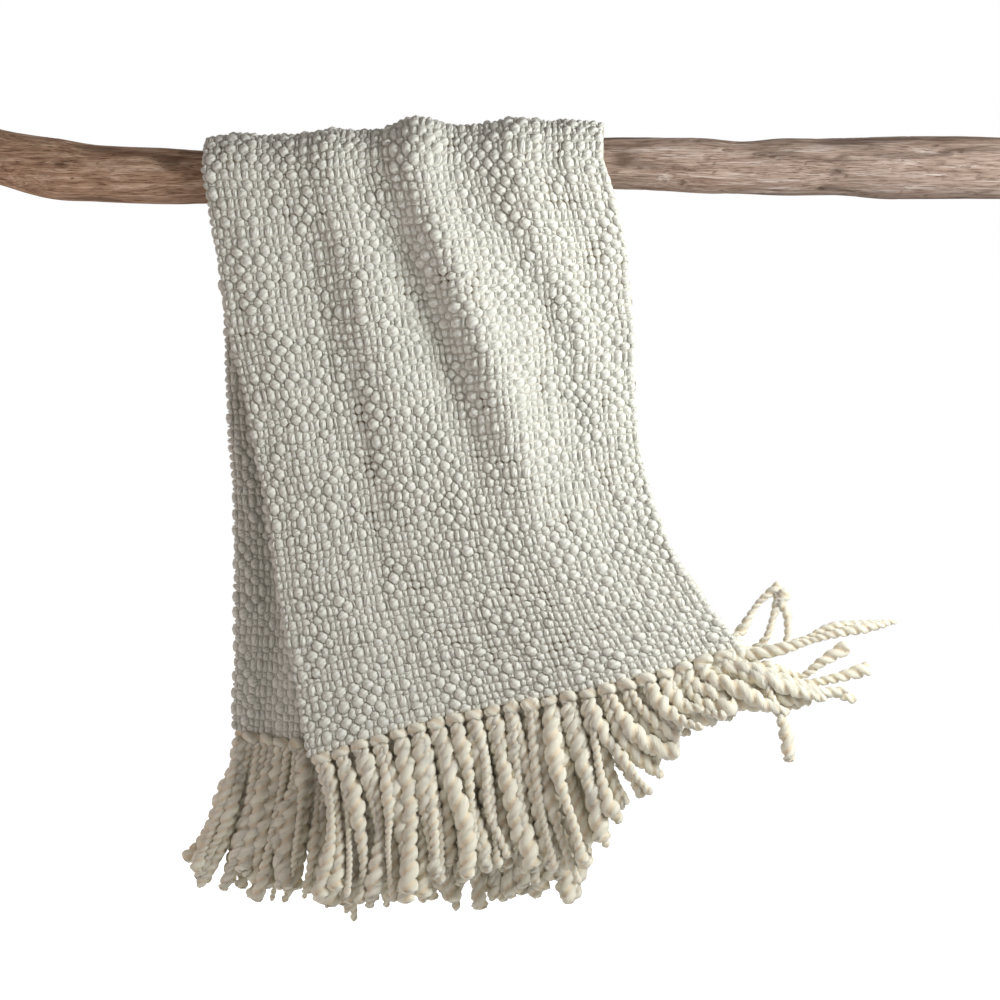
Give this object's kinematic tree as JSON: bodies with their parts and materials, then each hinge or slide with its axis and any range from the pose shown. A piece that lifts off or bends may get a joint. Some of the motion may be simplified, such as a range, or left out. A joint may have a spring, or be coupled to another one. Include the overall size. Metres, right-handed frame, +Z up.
{
  "type": "wool throw blanket on a wooden branch",
  "caption": "Thick slub-woven throw blanket, folded once along its length and draped over a driftwood branch, with knotted fringe on both hems",
  "frame": {"origin": "the middle of the branch's left sawn end", "axes": "+X along the branch to the right, -Y towards the viewer who sees the front panel, +Z up"},
  "size_m": [1.304, 0.1827, 0.9807],
  "materials": {
    "driftwood": "weathered bare wood, matt, with long grain, small pits and pale worn streaks",
    "ivory_wool": "ivory slub wool in plain weave, thick and thin, soft and matt",
    "ivory_fringe": "the same ivory yarn, two plies twisted, in loose strands"
  },
  "bodies": {
    "root": {"branch": "driftwood", "throw": "ivory_wool", "fringe_front": "ivory_fringe", "fringe_back": "ivory_fringe"}
  },
  "joints": []
}
